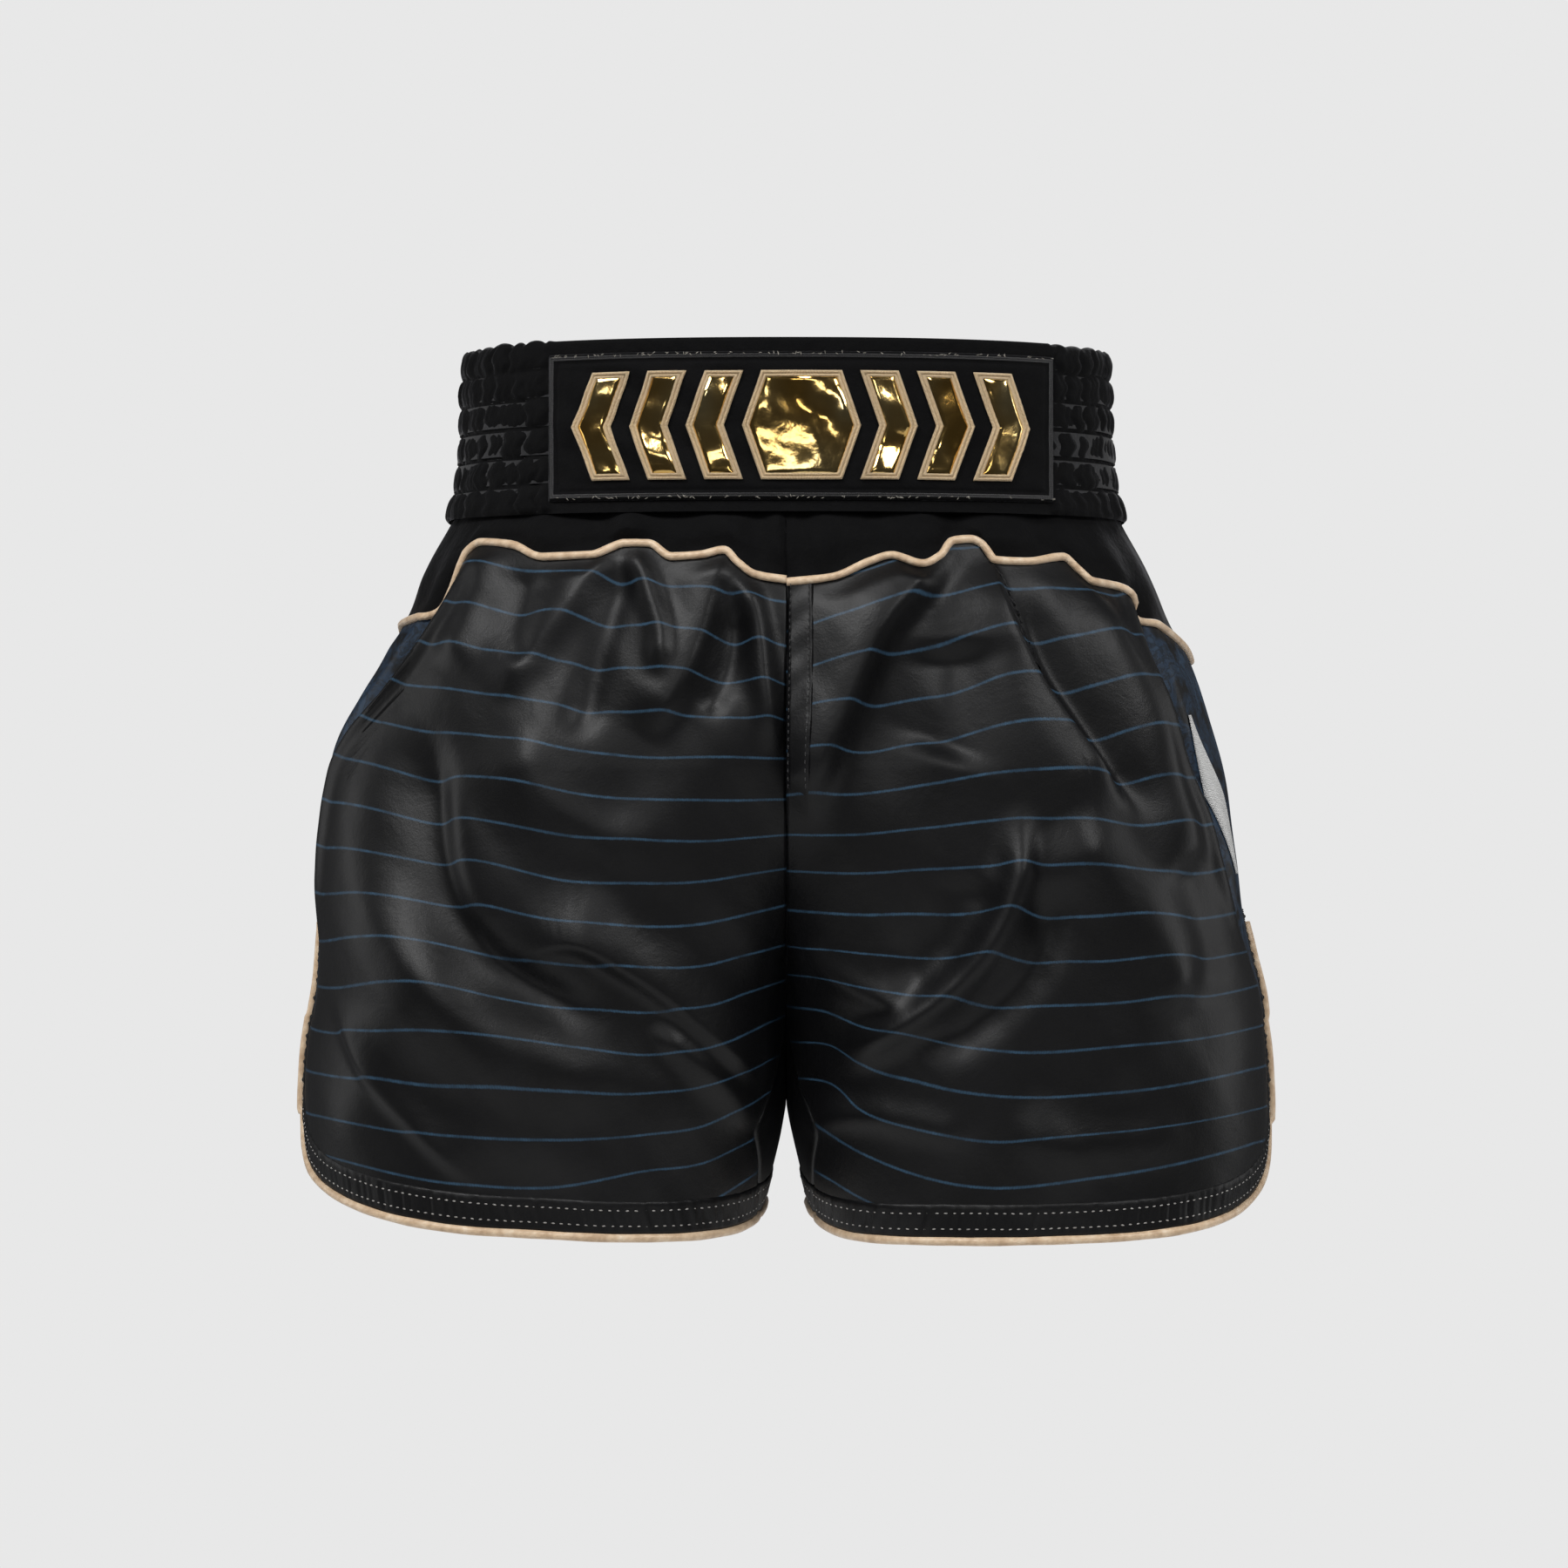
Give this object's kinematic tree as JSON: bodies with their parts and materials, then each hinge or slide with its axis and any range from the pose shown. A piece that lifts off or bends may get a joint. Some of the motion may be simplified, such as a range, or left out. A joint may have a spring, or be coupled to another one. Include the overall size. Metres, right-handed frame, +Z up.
{
  "type": "boxing shorts",
  "caption": "Boxing shorts with a wide shirred waistband, a front patch, curved yokes, side vents and piped hems, in the shape they take when worn.",
  "frame": {"origin": "centre of the waist opening, level with the waistband's top edge", "axes": "+Z up out of the waist opening, -Y to the front, +X to the wearer's left"},
  "size_m": [0.4358, 0.2442, 0.3936],
  "materials": {
    "black_velvet": "short black pile with soft sheen at grazing angles",
    "lining": "matt black woven lining",
    "elastic": "matt black knitted elastic",
    "black_thread": "black sewing thread",
    "gold_foil": "crinkled gold foil",
    "tan_thread": "tan satin stitch",
    "black_satin": "black polyester satin",
    "pinstripe_satin": "black polyester satin with thin blue pinstripes across it",
    "camouflage_satin": "black satin with a dark blue mottled print",
    "champagne_piping": "satin-covered cord in champagne",
    "grey_thread": "light grey sewing thread",
    "white_thread": "white satin stitch",
    "label_white": "plain white woven label"
  },
  "bodies": {
    "hips": {"care_label": "label_white", "channel_stitching": "black_thread", "elastic_strip_1": "elastic", "elastic_strip_2": "elastic", "elastic_strip_3": "elastic", "elastic_strip_4": "elastic", "elastic_strip_5": "elastic", "elastic_strip_6": "elastic", "emblem_foil": "gold_foil", "emblem_stitching": "tan_thread", "fly_facing": "black_satin", "front_patch": "black_velvet", "left_back_panel_upper": "pinstripe_satin", "left_back_yoke": "black_velvet", "left_back_yoke_piping": "champagne_piping", "left_front_panel_upper": "pinstripe_satin", "left_front_yoke": "black_velvet", "left_front_yoke_piping": "champagne_piping", "left_side_panel_front_upper": "camouflage_satin", "left_side_panel_rear_upper": "camouflage_satin", "left_side_patch": "white_thread", "left_vent_bartack": "black_thread", "patch_backing": "lining", "patch_border": "black_thread", "right_back_panel_upper": "pinstripe_satin", "right_back_yoke": "black_velvet", "right_back_yoke_piping": "champagne_piping", "right_front_panel_upper": "pinstripe_satin", "right_front_yoke": "black_velvet", "right_front_yoke_piping": "champagne_piping", "right_side_panel_front_upper": "camouflage_satin", "right_side_panel_rear_upper": "camouflage_satin", "right_vent_bartack": "black_thread", "waistband_lining": "lining", "waistband_shell": "black_velvet"},
    "left_leg": {"left_back_gusset": "black_satin", "left_back_panel_lower": "pinstripe_satin", "left_front_gusset": "black_satin", "left_front_panel_lower": "pinstripe_satin", "left_hem_band": "black_satin", "left_hem_piping": "champagne_piping", "left_hem_stitching": "grey_thread", "left_side_panel_front_lower": "camouflage_satin", "left_side_panel_rear_lower": "camouflage_satin", "left_vent_facing": "black_satin"},
    "right_leg": {"right_back_gusset": "black_satin", "right_back_panel_lower": "pinstripe_satin", "right_front_gusset": "black_satin", "right_front_panel_lower": "pinstripe_satin", "right_hem_band": "black_satin", "right_hem_piping": "champagne_piping", "right_hem_stitching": "grey_thread", "right_side_panel_front_lower": "camouflage_satin", "right_side_panel_rear_lower": "camouflage_satin", "right_vent_facing": "black_satin"}
  },
  "joints": [
    {"name": "left_hip_swing", "type": "hinge", "parent": "hips", "child": "left_leg", "pos_m": [0, 0, -0.13], "axis": [-1, 0, 0], "range_deg": [-20, 45]},
    {"name": "right_hip_swing", "type": "hinge", "parent": "hips", "child": "right_leg", "pos_m": [0, 0, -0.13], "axis": [-1, 0, 0], "range_deg": [-20, 45]}
  ]
}
